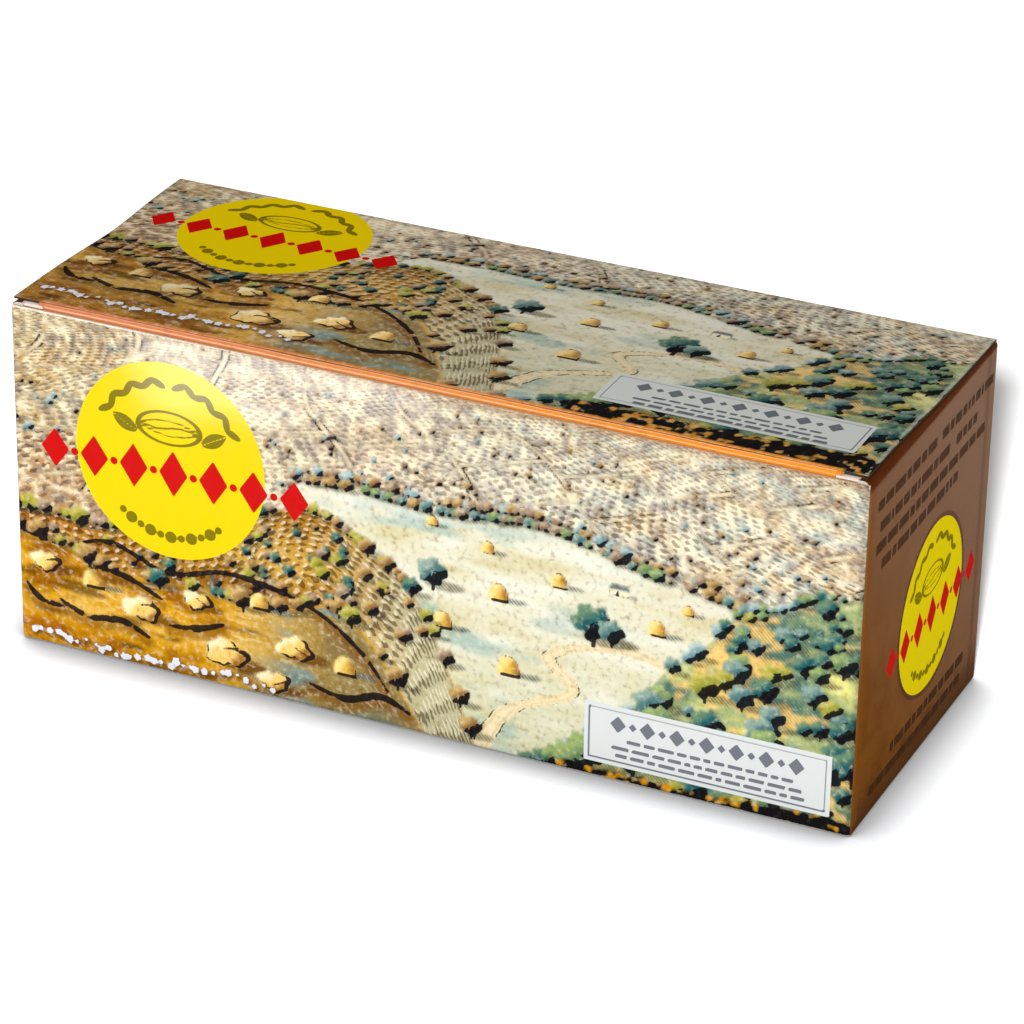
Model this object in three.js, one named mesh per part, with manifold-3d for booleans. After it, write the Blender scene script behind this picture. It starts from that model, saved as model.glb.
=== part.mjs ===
// A shut praline carton: one sheet of printed paperboard, folded into a long box.
// The lid hinges along the back and tucks in behind the front wall, and the bottom is a glued flap.
// Lengths are in millimetres. +X runs along the box, -Y is the front, +Z is up,
// and the origin is the middle of the face that the box stands on.
import * as THREE from "three";
import { mergeVertices } from "three/addons/utils/BufferGeometryUtils.js";
import Module from "manifold-3d";

// The outside of the shut box, from fold to fold.
const LENGTH = 230;
const DEPTH = 90;
const HEIGHT = 96;

// The board and its creases.
const BOARD = 0.6;
const FOLD_RADIUS = 1.2;
const FOLD_STEP = Math.tan(Math.PI / 8); // halves a fold's quarter turn

// How far each wall swells over its contents, at its middle.
const LONG_WALL_BOW = 0.8;
const END_WALL_BOW = 0.4;
const LID_BOW = 0.5;

// The lid's front fold turns down into a slot behind the front wall.
const FRONT_EDGE_DROP = 1.4; // from the lid's top down to the front wall's cut edge
const LID_FOLD_RADIUS = 1.15;
const SLOT_WIDTH = 0.3;
const SLOT_DEPTH = 2.6;

// The cut at each end of the lid's front fold, which locks the flaps below it.
const SLIT_LENGTH = 7.5;
const SLIT_INSET = 1.6;

// Each end wall folds in under the lid, lower at the front than at the back.
const END_FOLD_FRONT = 1.9;
const END_FOLD_BACK = 1.0;

// The bottom flap is hinged at the back, and its three cut edges stand clear of the folds.
const FLAP_INSET = 2.2;
const FLAP_GAP = 0.5;

// The glued seam is a cut edge near the back left corner.
const SEAM_INSET = 1.6;
const SEAM_GAP = 0.35;

const LENGTH_STEPS = 16;
const DEPTH_STEPS = 8;
const HEIGHT_STEPS = 8;
const ARC_STEPS = 5;
const CLEAR = 3; // how far a cutter reaches past the box

const HALF_LENGTH = LENGTH / 2;
const HALF_DEPTH = DEPTH / 2;

const wasm = await Module();
wasm.setup();

function solidOf(geometry) {
  geometry.deleteAttribute("normal");
  geometry.deleteAttribute("uv");
  const merged = mergeVertices(geometry, 1e-4);
  return new wasm.Manifold(
    new wasm.Mesh({
      numProp: 3,
      vertProperties: merged.getAttribute("position").array,
      triVerts: new Uint32Array(merged.index.array),
    }),
  );
}

function geometryOf(solid) {
  const { vertProperties, triVerts } = solid.getMesh();
  const geometry = new THREE.BufferGeometry();
  geometry.setAttribute("position", new THREE.BufferAttribute(vertProperties, 3));
  geometry.setIndex(new THREE.BufferAttribute(triVerts, 1));
  geometry.computeVertexNormals();
  return geometry;
}

// Grid lines from low to high, with one more line inside each fold that is rounded.
function gridLines(low, high, steps, lowIsRounded, highIsRounded) {
  const first = lowIsRounded ? low + FOLD_RADIUS : low;
  const last = highIsRounded ? high - FOLD_RADIUS : high;
  const lines = Array.from({ length: steps + 1 }, (_, i) => THREE.MathUtils.lerp(first, last, i / steps));
  const inFold = FOLD_RADIUS * (1 - FOLD_STEP);
  if (lowIsRounded) lines.unshift(low, low + inFold);
  if (highIsRounded) lines.push(high - inFold, high);
  return lines;
}

// A point of the square block moves onto the folds: its offset from the core inside
// the folds keeps its largest component as its length. The lid's level stays square.
function roundFolds(point) {
  const core = new THREE.Vector3(
    THREE.MathUtils.clamp(point.x, FOLD_RADIUS - HALF_LENGTH, HALF_LENGTH - FOLD_RADIUS),
    THREE.MathUtils.clamp(point.y, FOLD_RADIUS - HALF_DEPTH, HALF_DEPTH - FOLD_RADIUS),
    Math.max(point.z, FOLD_RADIUS),
  );
  const offset = point.clone().sub(core);
  const reach = Math.max(Math.abs(offset.x), Math.abs(offset.y), Math.abs(offset.z));
  return reach > 0 ? core.add(offset.setLength(reach)) : point;
}

// Each wall swells by its bow at its middle and by nothing along its edges.
function swell(point) {
  const x = point.x / HALF_LENGTH;
  const y = point.y / HALF_DEPTH;
  const z = (2 * point.z) / HEIGHT - 1;
  const hill = (s, t) => (1 - s * s) * (1 - t * t);
  point.x += END_WALL_BOW * x * hill(y, z);
  point.y += LONG_WALL_BOW * y * hill(x, z);
  point.z += LID_BOW * Math.max(z, 0) * hill(x, y);
  return point;
}

function wallBlock() {
  const xLines = gridLines(-HALF_LENGTH, HALF_LENGTH, LENGTH_STEPS, true, true);
  const yLines = gridLines(-HALF_DEPTH, HALF_DEPTH, DEPTH_STEPS, true, true);
  const zLines = gridLines(0, HEIGHT, HEIGHT_STEPS, true, false);
  const [nx, ny, nz] = [xLines.length - 1, yLines.length - 1, zLines.length - 1];
  const geometry = new THREE.BoxGeometry(nx, ny, nz, nx, ny, nz);
  const places = geometry.getAttribute("position");
  const cell = new THREE.Vector3();
  for (let i = 0; i < places.count; i++) {
    cell.fromBufferAttribute(places, i);
    const point = new THREE.Vector3(
      xLines[Math.round(cell.x + nx / 2)],
      yLines[Math.round(cell.y + ny / 2)],
      zLines[Math.round(cell.z + nz / 2)],
    );
    const moved = swell(roundFolds(point));
    places.setXYZ(i, moved.x, moved.y, moved.z);
  }
  return solidOf(geometry);
}

function boxBetween(low, high) {
  const size = new THREE.Vector3().subVectors(high, low);
  const middle = new THREE.Vector3().addVectors(low, high).multiplyScalar(0.5);
  const geometry = new THREE.BoxGeometry(size.x, size.y, size.z);
  return solidOf(geometry.translate(middle.x, middle.y, middle.z));
}

// A shape drawn with y across and z up, carried along the whole box.
function alongBox(shape) {
  const run = LENGTH + 2 * CLEAR;
  const geometry = new THREE.ExtrudeGeometry(shape, {
    depth: run,
    steps: 1,
    bevelEnabled: false,
    curveSegments: ARC_STEPS,
  });
  // The shape's own x, y and depth become y, z and x.
  geometry.applyMatrix4(new THREE.Matrix4().set(0, 0, 1, -run / 2, 1, 0, 0, 0, 0, 1, 0, 0, 0, 0, 0, 1));
  return solidOf(geometry);
}

// What lies outside the lid's front fold: the air over the front wall's cut edge and the slot behind it.
function frontFoldCutter() {
  const inner = -HALF_DEPTH + BOARD;
  const edge = HEIGHT - FRONT_EDGE_DROP;
  const foldStart = inner + SLOT_WIDTH;
  const foldCentre = foldStart + LID_FOLD_RADIUS;
  const shape = new THREE.Shape();
  shape.moveTo(-HALF_DEPTH - CLEAR, edge);
  shape.lineTo(inner, edge);
  shape.lineTo(inner, HEIGHT - SLOT_DEPTH);
  shape.lineTo(foldStart, HEIGHT - SLOT_DEPTH);
  shape.lineTo(foldStart, HEIGHT - LID_FOLD_RADIUS);
  shape.absarc(foldCentre, HEIGHT - LID_FOLD_RADIUS, LID_FOLD_RADIUS, Math.PI, Math.PI / 2, true);
  shape.lineTo(foldCentre, HEIGHT + CLEAR);
  shape.lineTo(-HALF_DEPTH - CLEAR, HEIGHT + CLEAR);
  return alongBox(shape);
}

// What lies outside the hinge, where the lid turns down into the back wall.
function hingeFoldCutter() {
  const shape = new THREE.Shape();
  const centre = HALF_DEPTH - FOLD_RADIUS;
  shape.moveTo(HALF_DEPTH, HEIGHT - FOLD_RADIUS);
  shape.lineTo(HALF_DEPTH + CLEAR, HEIGHT - FOLD_RADIUS);
  shape.lineTo(HALF_DEPTH + CLEAR, HEIGHT + CLEAR);
  shape.lineTo(centre, HEIGHT + CLEAR);
  shape.lineTo(centre, HEIGHT);
  shape.absarc(centre, HEIGHT - FOLD_RADIUS, FOLD_RADIUS, Math.PI / 2, 0, true);
  return alongBox(shape);
}

// The wedge of air between the lid's cut end and the round fold of the end wall under it.
// It is drawn for a fold of radius 1, and its size runs from the front one to the back one.
function endFoldCutter(side) {
  const shape = new THREE.Shape();
  shape.moveTo(CLEAR, 0);
  shape.lineTo(CLEAR, -1);
  shape.lineTo(0, -1);
  shape.absarc(-1, -1, 1, 0, Math.PI / 2, false);
  const from = -HALF_DEPTH - CLEAR;
  const to = HALF_DEPTH - FOLD_RADIUS;
  const geometry = new THREE.ExtrudeGeometry(shape, {
    depth: 1,
    steps: 1,
    bevelEnabled: false,
    curveSegments: ARC_STEPS,
  });
  const places = geometry.getAttribute("position");
  for (let i = 0; i < places.count; i++) {
    const along = places.getZ(i);
    const radius = THREE.MathUtils.lerp(END_FOLD_FRONT, END_FOLD_BACK, along);
    places.setXYZ(
      i,
      side * (HALF_LENGTH + radius * places.getX(i)),
      THREE.MathUtils.lerp(from, to, along),
      HEIGHT - BOARD + radius * places.getY(i),
    );
  }
  // Turning y and z over mirrors the shape once, and the left end mirrors it again.
  if (side > 0) flipFaces(geometry);
  return solidOf(geometry);
}

function flipFaces(geometry) {
  const places = geometry.getAttribute("position");
  const corner = new THREE.Vector3();
  for (let i = 0; i < places.count; i += 3) {
    corner.fromBufferAttribute(places, i);
    places.setXYZ(i, places.getX(i + 1), places.getY(i + 1), places.getZ(i + 1));
    places.setXYZ(i + 1, corner.x, corner.y, corner.z);
  }
}

// At each end of its front fold the lid is cut square, over the flap that it locks.
function slitCutter(side) {
  const inner = side * (HALF_LENGTH - SLIT_LENGTH);
  const outer = side * (HALF_LENGTH + CLEAR);
  return boxBetween(
    new THREE.Vector3(Math.min(inner, outer), -HALF_DEPTH - CLEAR, HEIGHT - BOARD),
    new THREE.Vector3(Math.max(inner, outer), -HALF_DEPTH + SLIT_INSET, HEIGHT + CLEAR),
  );
}

// The gap round the bottom flap's front edge and both of its ends.
function bottomGapCutters() {
  const x = HALF_LENGTH - FLAP_INSET;
  const front = -HALF_DEPTH + FLAP_INSET;
  const back = HALF_DEPTH - FOLD_RADIUS;
  const gap = (x0, y0, x1, y1) =>
    boxBetween(new THREE.Vector3(x0, y0, -CLEAR), new THREE.Vector3(x1, y1, BOARD));
  return [
    gap(-x, front, x, front + FLAP_GAP),
    gap(-x, front, -x + FLAP_GAP, back),
    gap(x - FLAP_GAP, front, x, back),
  ];
}

// The glued seam: the back wall's cut edge over the glue flap, on the left part of the back.
function seamCutter() {
  const x = -HALF_LENGTH + SEAM_INSET;
  const reach = LONG_WALL_BOW + CLEAR;
  return boxBetween(
    new THREE.Vector3(x, HALF_DEPTH - BOARD, FOLD_RADIUS),
    new THREE.Vector3(x + SEAM_GAP, HALF_DEPTH + reach, HEIGHT - FOLD_RADIUS),
  );
}

function cartonSolid() {
  const cutters = [
    frontFoldCutter(),
    hingeFoldCutter(),
    endFoldCutter(-1),
    endFoldCutter(1),
    slitCutter(-1),
    slitCutter(1),
    ...bottomGapCutters(),
    seamCutter(),
  ];
  return cutters.reduce((solid, cutter) => solid.subtract(cutter), wallBlock());
}

function printedBoard() {
  return new THREE.MeshStandardMaterial({ color: 0xc9b07e, roughness: 0.42, metalness: 0 });
}

const carton = new THREE.Mesh(geometryOf(cartonSolid()), printedBoard());
carton.name = "carton";

const group = new THREE.Group();
group.add(carton);

export default group;
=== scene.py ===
"""A shut praline carton of printed paperboard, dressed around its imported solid.

Every board of the carton is a piece of its own: the front, the back, both ends, the lid, its tuck fold, the
bottom and the two small lock flaps. The print is a made-up farming country. It is worked out below as washes
of colour and drawn lines on a fine grid, and the boards carry it as attributes that their inks read.
Lengths are in millimetres until a mesh is made, and metres from there on.
"""

import math

import bpy
import numpy as np
from mathutils import Matrix, Vector


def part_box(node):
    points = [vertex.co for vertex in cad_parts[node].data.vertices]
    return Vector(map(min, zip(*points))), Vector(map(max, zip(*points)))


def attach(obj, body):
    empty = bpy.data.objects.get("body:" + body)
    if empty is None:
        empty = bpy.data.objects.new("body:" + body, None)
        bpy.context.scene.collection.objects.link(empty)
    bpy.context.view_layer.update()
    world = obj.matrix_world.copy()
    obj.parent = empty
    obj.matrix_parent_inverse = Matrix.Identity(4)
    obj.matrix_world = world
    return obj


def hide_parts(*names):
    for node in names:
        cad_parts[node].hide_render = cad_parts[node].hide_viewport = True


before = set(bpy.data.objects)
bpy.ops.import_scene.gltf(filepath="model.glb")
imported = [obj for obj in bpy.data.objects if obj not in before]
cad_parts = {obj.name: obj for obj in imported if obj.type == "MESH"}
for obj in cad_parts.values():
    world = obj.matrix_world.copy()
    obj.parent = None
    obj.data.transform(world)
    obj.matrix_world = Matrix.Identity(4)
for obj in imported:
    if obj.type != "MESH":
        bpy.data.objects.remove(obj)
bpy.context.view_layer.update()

MM = 0.001

# The folded box, from the imported solid. Its walls swell a little past these sizes.
LONG_WALL_BOW = 0.8
END_WALL_BOW = 0.4
LID_BOW = 0.5
box_low, box_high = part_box("carton")
LENGTH = (box_high.x - box_low.x) / MM - 2 * END_WALL_BOW
DEPTH = (box_high.y - box_low.y) / MM - 2 * LONG_WALL_BOW
HEIGHT = box_high.z / MM - LID_BOW
HALF_LENGTH = LENGTH / 2
HALF_DEPTH = DEPTH / 2

# The board, its creases and its cuts, as in the solid.
BOARD = 0.6
FOLD_RADIUS = 1.2
FRONT_EDGE_DROP = 1.4
LID_FOLD_RADIUS = 1.15
SLOT_WIDTH = 0.3
SLOT_DEPTH = 2.6
SLIT_LENGTH = 7.5
END_FOLD_FRONT = 1.9
END_FOLD_BACK = 1.0
END_FLAP_RUN = 1.2
END_BLOCK = 3.5
FLAP_INSET = 2.2
FLAP_GAP = 0.5
SEAM_INSET = 1.6
SEAM_GAP = 0.35
WARP = 0.22
AT_WALL = 0.98

# What is added to the solid: how far the tuck flap goes below its slot, where the lock flaps run to and how
# far they stop short of the end, and how much the two sides of a cut lean in.
TUCK_BELOW_SLOT = 4
LOCK_FLAP_LENGTH = SLIT_LENGTH + 1.5
LOCK_FLAP_INSET = 2.3
LOCK_FLAP_DEPTH = 6
CUT_SLOPE = 0.03
CUT_SLACK = 0.01

# What the lid's sides are cut short by: all along the right one, more at its front, and amid the left one.
LID_TRIM_RIGHT = 0.5
LID_TRIM_CORNER = 1.1
LID_TRIM_LEFT = 1.25
LID_TRIM_REACH = 12

# The print's grid.
PRINT_STEP = 0.5
PRINT_LEFT, PRINT_RIGHT = -2.0, 232.0
PRINT_LOW, PRINT_HIGH = -10.0, 98.0
LID_PRINT_SHIFT = 7.0
EVERYWHERE = np.s_[:, :]

# The height at which drawn things would shrink to nothing, and the depth of a point far outside a form.
HORIZON = 150.0
FAR_AWAY = -9.0

# What is printed over the picture: a disc is ((across, up), radius), a plate its low and its high corner.
FRONT_DISC = ((45.0, 60.7), 26.9)
FRONT_PLATE = ((159.6, 4.4), (224.3, 21.2))
LID_DISC = ((40.5, 58.8), 25.4)
LID_PLATE = ((154.0, 5.0), (221.4, 21.0))
END_DISC = ((4.2, 40.4), 22.6)
END_RULES = [(-39, 0, 86.4), (5, 36, 86.4), (-37, 12, 80.4), (16, 31, 80.4), (-39, 34, 75.0), (-35, 19, 69.8)]
END_LOW_RULES = [(-20, 30, 12.4), (-34, 32, 7.0)]
DISC_UNITS = 26.5
ORANGE_STRIP = 1.3

# The soft edges of a printed form and of a pen's line, in millimetres, and the hatching's pitch, in metres.
PRINT_EDGE = 0.05
PEN_EDGE = 0.09
HATCH_PITCH = 0.0011

# How strongly the board and its inks reflect, as the shader's specular level.
BOARD_GLOSS = 0.35

# Inks, as they look on the paper.
SAGE = (158, 176, 118)
OLIVE = (150, 150, 70)
TEAL = (44, 92, 96)
DEEP = (22, 34, 38)
PALE = (250, 238, 204)
ORANGE_LEFT = (228, 140, 92)
ORANGE_RIGHT = (255, 160, 48)

# A tree's crown, as its light, its body and its dark.
LEAF = (SAGE, (106, 132, 96), (48, 78, 70))
DUSK = ((150, 172, 160), (84, 118, 120), TEAL)
PINE = ((110, 140, 112), TEAL, DEEP)
LIME = ((196, 184, 104), OLIVE, (70, 76, 40))
RUSSET = ((206, 176, 120), (140, 108, 70), (70, 52, 38))
SLATE = ((190, 206, 202), (120, 152, 158), (70, 100, 112))
EARTH = ((196, 176, 152), (128, 106, 88), (58, 46, 42))


# Camera: the photo's view, fitted to the edges of the box.

CAMERA_AZIMUTH = math.radians(24.218)
CAMERA_ELEVATION = math.radians(26.58)
CAMERA_ROLL = math.radians(1.107)
CAMERA_DISTANCE = 1.1262
CAMERA_TARGET = Vector((0.00372, 0.0, 0.04289))
CAMERA_LENS = 155.79


def towards(azimuth, elevation):
    """The direction from the box to a point that stands at an azimuth, from the front, and an elevation."""
    flat = math.cos(elevation)
    return Vector((math.sin(azimuth) * flat, -math.cos(azimuth) * flat, math.sin(elevation)))


def placed(name, data):
    """An object made of a mesh, a light or a camera, in the scene."""
    thing = bpy.data.objects.new(name, data)
    bpy.context.scene.collection.objects.link(thing)
    return thing


def make_camera():
    """A camera that looks from its azimuth and elevation at its target, rolled about its own axis."""
    camera_data = bpy.data.cameras.new("camera")
    camera_data.lens = CAMERA_LENS
    camera_data.sensor_width = 36.0
    camera_data.clip_end = 20.0
    camera = placed("camera", camera_data)
    back = towards(CAMERA_AZIMUTH, CAMERA_ELEVATION)
    right = Vector((math.cos(CAMERA_AZIMUTH), math.sin(CAMERA_AZIMUTH), 0))
    up = back.cross(right)
    rolled_right = right * math.cos(CAMERA_ROLL) + up * math.sin(CAMERA_ROLL)
    rolled_up = up * math.cos(CAMERA_ROLL) - right * math.sin(CAMERA_ROLL)
    turn = Matrix((rolled_right, rolled_up, back)).transposed().to_4x4()
    camera.matrix_world = Matrix.Translation(CAMERA_TARGET + back * CAMERA_DISTANCE) @ turn
    bpy.context.scene.camera = camera


make_camera()


# Tones and noise.

LATTICE = 64


def linear(colour):
    """The light that a paper colour of 0 to 255 sends back, from 0 to 1."""
    c = np.asarray(colour, float) / 255
    return np.where(c <= 0.04045, c / 12.92, ((c + 0.055) / 1.055) ** 2.4)


def smooth(low, high, x):
    """0 before low and 1 after high, with an eased step between them. High may be the smaller one."""
    t = np.clip((x - low) / (high - low), 0, 1)
    return t * t * (3 - 2 * t)


def cloud(u, v, size, seed, octaves=3):
    """Soft random tone from 0 to 1: random heights on a lattice, eased between its points, and finer ones."""
    total = 0
    norm = 0
    for k in range(octaves):
        heights = np.random.default_rng(seed + k).random((LATTICE, LATTICE))
        a = u / size * 2**k + 7.3
        b = v / size * 2**k + 3.1
        left = np.floor(a).astype(int)
        low = np.floor(b).astype(int)
        s = smooth(0, 1, a - left)
        t = smooth(0, 1, b - low)
        i0, i1 = left % LATTICE, (left + 1) % LATTICE
        j0, j1 = low % LATTICE, (low + 1) % LATTICE
        near = heights[i0, j0] * (1 - s) + heights[i1, j0] * s
        far = heights[i0, j1] * (1 - s) + heights[i1, j1] * s
        total = total + (near * (1 - t) + far * t) / 2**k
        norm += 1 / 2**k
    return total / norm


def turned(x, y, angle):
    """The coordinates of points along and across a line at an angle."""
    c = np.cos(angle)
    s = np.sin(angle)
    return x * c + y * s, -x * s + y * c


def scale_at(v):
    """How large a thing is drawn at that height of the picture, where 1 is its lower edge."""
    return (HORIZON - v) / HORIZON


# The picture. Its numbers are millimetres of print, shares from 0 to 1, and paper colours of 0 to 255.


class Picture:
    """The print as arrays over a grid of points. A form is how deep each point lies inside a drawn thing."""

    def __init__(self):
        self.us = np.arange(PRINT_LEFT, PRINT_RIGHT + PRINT_STEP / 2, PRINT_STEP)
        self.vs = np.arange(PRINT_LOW, PRINT_HIGH + PRINT_STEP / 2, PRINT_STEP)
        self.u, self.v = np.meshgrid(self.us, self.vs)
        self.wash = np.zeros(self.u.shape + (3,))
        self.ink = np.full(self.u.shape, FAR_AWAY)
        self.white = np.full(self.u.shape, FAR_AWAY)
        self.dots = np.zeros(self.u.shape)
        self.row_a = np.zeros(self.u.shape)
        self.row_b = np.zeros(self.u.shape)
        self.hatch = np.zeros(self.u.shape)
        self.rng = np.random.default_rng(11)

    def window(self, cu, cv, reach):
        """The part of the grid within reach of a point."""
        i = np.searchsorted(self.us, [cu - reach, cu + reach])
        j = np.searchsorted(self.vs, [cv - reach, cv + reach])
        return slice(j[0], j[1]), slice(i[0], i[1])

    def around(self, cu, cv, reach, shift=0):
        """The grid within reach of a place a shift to the right of a point, and its place from that point."""
        area = self.window(cu + shift, cv, reach)
        return area, self.u[area] - cu, self.v[area] - cv

    def lay(self, area, mask, colour):
        """Washes a colour over an area, as strongly as the mask says."""
        self.wash[area] += (linear(colour) - self.wash[area]) * mask[..., None]

    def tint(self, mask, colour):
        """Washes a colour over the whole print, as strongly as the mask says."""
        self.lay(EVERYWHERE, mask, colour)

    def blotted(self, inside, tone, washes):
        """Washes that fade in as a tone goes from low to high, each given as (low, high, share, colour)."""
        for low, high, share, colour in washes:
            self.tint(inside * smooth(low, high, tone) * share, colour)

    def cover(self, area, form, colour, soft=0.3):
        """Paints a form over what lies behind it, and gives its mask."""
        mask = smooth(-soft, soft, form)
        self.lay(area, mask, colour)
        self.ink[area] = np.minimum(self.ink[area], -form)
        self.white[area] = np.minimum(self.white[area], -form)
        self.dots[area] *= 1 - mask
        self.hatch[area] *= 1 - mask
        return mask

    def draw(self, area, form):
        """Draws a form in dark ink."""
        self.ink[area] = np.maximum(self.ink[area], form)

    def dab(self, area, form):
        """Puts a form on in white."""
        self.white[area] = np.maximum(self.white[area], form)

    def crest(self, level, waves):
        """A hill's outline over each point: a level with waves of (height, length, phase) on it."""
        total = level
        for height, length, phase in waves:
            total = total + height * np.sin(self.u / length + phase)
        return total

    def crest_at(self, crest, u):
        """The height of an outline at one place."""
        column = int(np.clip((u - PRINT_LEFT) / PRINT_STEP, 0, len(self.us) - 1))
        return crest[0, column]

    def hill(self, crest, colour, rows=0.0, pitch=2.2, curve=0.0):
        """Covers all that lies under a crest, with rows that run along it, and gives the form.

        The form is how far below the crest a point lies. Rows lie closer together the farther away they are.
        """
        form = crest - self.v
        mask = self.cover(EVERYWHERE, form, colour, 0.4)
        if rows > 0:
            inside = form > 0
            along = form / scale_at(self.v) ** 1.5
            self.row_a = np.where(inside, along * 2 * np.pi / pitch, self.row_a)
            across = self.u + curve * form
            self.row_b = np.where(inside, across * 2 * np.pi / (pitch * 1.15), self.row_b)
            self.dots = np.where(inside, rows * mask, self.dots)
        return form

    def tree(self, cu, cv, size, tones):
        """A crown whose outline is a circle with lobes. It is lit from the upper left and inked below."""
        light, body, dark = tones
        ground = self.window(cu + 0.7 * size, cv - 0.75 * size, 2.2 * size + 1)
        su = self.u[ground] - cu - 0.9 * size
        sv = self.v[ground] - cv + 0.85 * size
        shadow = size * 0.8 - np.hypot(su * 0.62, sv * 2.4)
        self.lay(ground, smooth(-0.5, 0.4, shadow) * 0.6, (92, 92, 70))
        self.hatch[ground] = np.maximum(self.hatch[ground], smooth(-0.6, 0.4, shadow) * 0.8)
        area, u, v = self.around(cu, cv, 1.5 * size + 1)
        angle = np.arctan2(v, u)
        phase = self.rng.random(3) * 2 * np.pi
        lobes = 0.11 * np.sin(5 * angle + phase[0]) + 0.07 * np.sin(9 * angle + phase[1])
        crown = size * (1 + lobes) - np.hypot(u, v * 1.15)
        self.cover(area, crown, body, 0.25)
        mask = smooth(-0.2, 0.25, crown)
        lit = (-0.6 * u + 0.8 * v) / size + 0.5 * (cloud(u + cu, v + cv, size * 0.7, 71) - 0.5)
        self.lay(area, mask * smooth(0.05, 0.6, lit) * 0.9, light)
        self.lay(area, mask * smooth(-0.05, -0.5, lit) * 0.9, dark)
        ripple = 0.16 * size * np.sin(7 * angle + phase[2])
        self.draw(area, np.minimum(crown + 0.05 * size, (0.6 * u - 0.8 * v) - 0.2 * size + ripple))
        if size > 2.2:
            inner = np.hypot(u + 0.25 * size, v * 1.2 - 0.2 * size) - 0.45 * size
            arc = np.minimum(0.16 - np.abs(inner), (0.6 * u - 0.8 * v) - 0.02 * size)
            self.draw(area, np.minimum(arc, crown - 0.3))
            stem = np.minimum(-v - 0.5 * size, v + 1.35 * size)
            self.draw(area, np.minimum(0.12 * size - np.abs(u - 0.1 * size), stem))

    def hedgerow(self, crest, start, stop, size, gap, kinds, skip=0.12):
        """Trees along a crest, with a random gap here and there."""
        at = start
        while at < stop:
            cv = self.crest_at(crest, at)
            s = size * (0.6 + 0.8 * self.rng.random()) * scale_at(cv) ** 1.3
            if self.rng.random() > skip:
                self.tree(at, cv + s * 0.4, s, kinds[self.rng.integers(len(kinds))])
            at += s * gap * (0.6 + 0.8 * self.rng.random())

    def grove(self, count, inside, size, kinds, spread, seed):
        """Trees at random places where inside is true, the farthest first."""
        rng = np.random.default_rng(seed)
        (u0, u1), (v0, v1) = spread
        spots = np.c_[rng.uniform(u0, u1, count), rng.uniform(v0, v1, count)]
        for cu, cv in spots[np.argsort(-spots[:, 1])]:
            column = int((cu - PRINT_LEFT) / PRINT_STEP)
            row = int((cv - PRINT_LOW) / PRINT_STEP)
            if inside[row, column]:
                s = size * (0.55 + 0.9 * rng.random()) * scale_at(cv) ** 1.3
                self.tree(cu, cv, s, kinds[rng.integers(len(kinds))])

    def haystacks(self, stacks):
        """Round stacks, each given as (across, up, size)."""
        for cu, cv, size in stacks:
            self.haystack(cu, cv, size)

    def haystack(self, cu, cv, size):
        """A round stack: a dome with a darker right side, on a shadow that runs to the right."""
        area, u, v = self.around(cu, cv, size * 3, size * 0.6)
        shadow = size * 0.75 - np.hypot((u - size) * 0.55, (v + size * 0.12) * 3.2)
        self.lay(area, smooth(-0.3, 0.3, shadow) * 0.7, (112, 122, 116))
        self.hatch[area] = np.maximum(self.hatch[area], smooth(-0.3, 0.3, shadow))
        dome = np.minimum(size * 0.8 - np.hypot(u, np.maximum(v, 0) * 0.72), v + size * 0.32)
        mask = self.cover(area, dome, (226, 186, 104), 0.25)
        self.lay(area, mask * smooth(0.0, 0.6, u / size) * 0.85, (150, 104, 52))
        self.lay(area, mask * smooth(-0.1, -0.6, (u - 0.5 * v) / size) * 0.8, (250, 228, 160))
        self.draw(area, np.minimum(0.17 - np.abs(dome - 0.05), u + 0.35 * size))
        foot = np.minimum(0.2 * size - np.abs(v + size * 0.3) * 1.6, size * 0.75 - np.abs(u - 0.15 * size))
        self.draw(area, foot)

    def barn(self, cu, cv, size):
        """A low barn: a pale wall, a sloping roof and a dark door."""
        area, u, v = self.around(cu, cv, size * 2.2)
        shadow = np.minimum(size * 0.5 - np.abs(u - size * 1.25), size * 0.16 - np.abs(v + size * 0.22))
        self.lay(area, smooth(-0.4, 0.3, shadow) * 0.7, (112, 116, 104))
        wall = np.minimum(size - np.abs(u), np.minimum(v + size * 0.35, size * 0.35 - v))
        self.cover(area, wall, (244, 232, 200), 0.2)
        slope = size * 1.25 - np.abs(u) - v * 0.55
        roof = np.minimum(np.minimum(v - size * 0.3, size * 0.85 - v), slope)
        self.cover(area, roof, (116, 128, 130), 0.2)
        self.draw(area, 0.16 - np.abs(roof - 0.05))
        self.draw(area, np.minimum(0.16 - np.abs(wall), size * 0.2 - v))
        door = np.minimum(v + size * 0.35, size * 0.12 - v)
        self.draw(area, np.minimum(size * 0.16 - np.abs(u + size * 0.2), door))

    def lane(self, points, width):
        """A winding lane, narrower the farther it is, with worn ruts and broken edges."""
        form = self.stroke(points, width, 1.5)
        self.cover(EVERYWHERE, form, (234, 220, 184), 0.25)
        broken = cloud(self.u, self.v, 2.6, 61) - 0.5
        self.draw(EVERYWHERE, np.minimum(0.26 - np.abs(form - 0.1), broken * 3))
        rut = 0.16 - np.abs(form - width * 0.45 * scale_at(self.v) ** 1.5)
        self.tint(smooth(-0.2, 0.1, rut) * 0.5, (190, 156, 104))

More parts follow.
